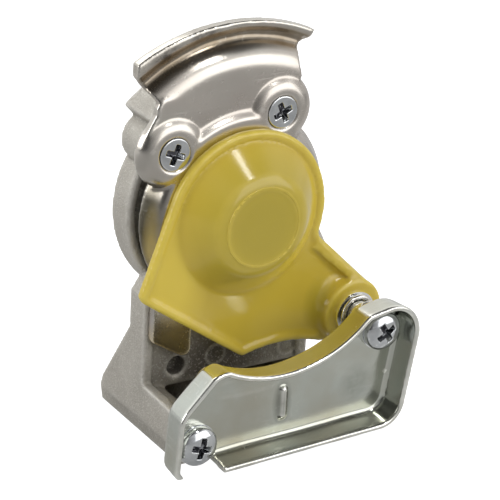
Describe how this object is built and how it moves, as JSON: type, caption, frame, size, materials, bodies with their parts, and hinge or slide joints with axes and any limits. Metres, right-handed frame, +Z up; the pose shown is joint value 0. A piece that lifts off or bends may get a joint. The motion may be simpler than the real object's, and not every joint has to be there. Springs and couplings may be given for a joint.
{
  "type": "gladhand air brake coupler",
  "caption": "Palm-type coupling head for an air brake line: cast body, plated claw and guide bracket, yellow swivel cover on a spring, shut-off valve behind the face seal.",
  "frame": {"origin": "centre of the mouth of the threaded port in the foot", "axes": "+Z up along the port's axis, +X to the right seen from the front, -Y the front, where the mating head comes"},
  "size_m": [0.0819, 0.0592, 0.1226],
  "materials": {
    "cast_body": "die cast skin, matt grey",
    "plated_sheet": "pressed sheet, bright zinc plating",
    "bright_screw": "bright zinc plating",
    "cover_plastic": "moulded, semi-gloss yellow",
    "spring_wire": "drawn wire",
    "seal_rubber": "moulded rubber",
    "seat_brass": "turned",
    "valve_plastic": "moulded"
  },
  "bodies": {
    "housing": {"housing": "cast_body", "claw_plate": "plated_sheet", "claw_screw_left": "bright_screw", "claw_screw_right": "bright_screw", "guide_bracket": "plated_sheet", "bracket_screw_corner": "bright_screw", "bracket_screw_pivot": "bright_screw", "corner_washer": "bright_screw", "pivot_washer": "bright_screw", "pivot_sleeve": "plated_sheet", "face_seal": "seal_rubber", "seat_ring": "seat_brass", "seat_oring": "seal_rubber", "snap_ring": "spring_wire"},
    "spring_seat": {"spring_washer": "bright_screw", "cover_spring": "spring_wire"},
    "swivel_cover": {"cover": "cover_plastic"},
    "valve": {"valve_plunger": "valve_plastic", "valve_washer": "seal_rubber", "valve_spring": "spring_wire"}
  },
  "joints": [
    {"name": "cover_lift", "type": "slide", "parent": "housing", "child": "spring_seat", "axis": [0, -1, 0], "range_m": [0, 0.0045], "stiffness_N_per_m": 1500, "springref_m": -0.006, "deforming": ["cover_spring"]},
    {"name": "cover_swing", "type": "hinge", "parent": "spring_seat", "child": "swivel_cover", "pos_m": [0.03707, -0.0197, 0.03133], "axis": [0, 1, 0], "range_deg": [0, 120]},
    {"name": "valve_stroke", "type": "slide", "parent": "housing", "child": "valve", "axis": [0, 1, 0], "range_m": [0, 0.004], "stiffness_N_per_m": 2000, "springref_m": -0.004, "deforming": ["valve_spring"]}
  ]
}
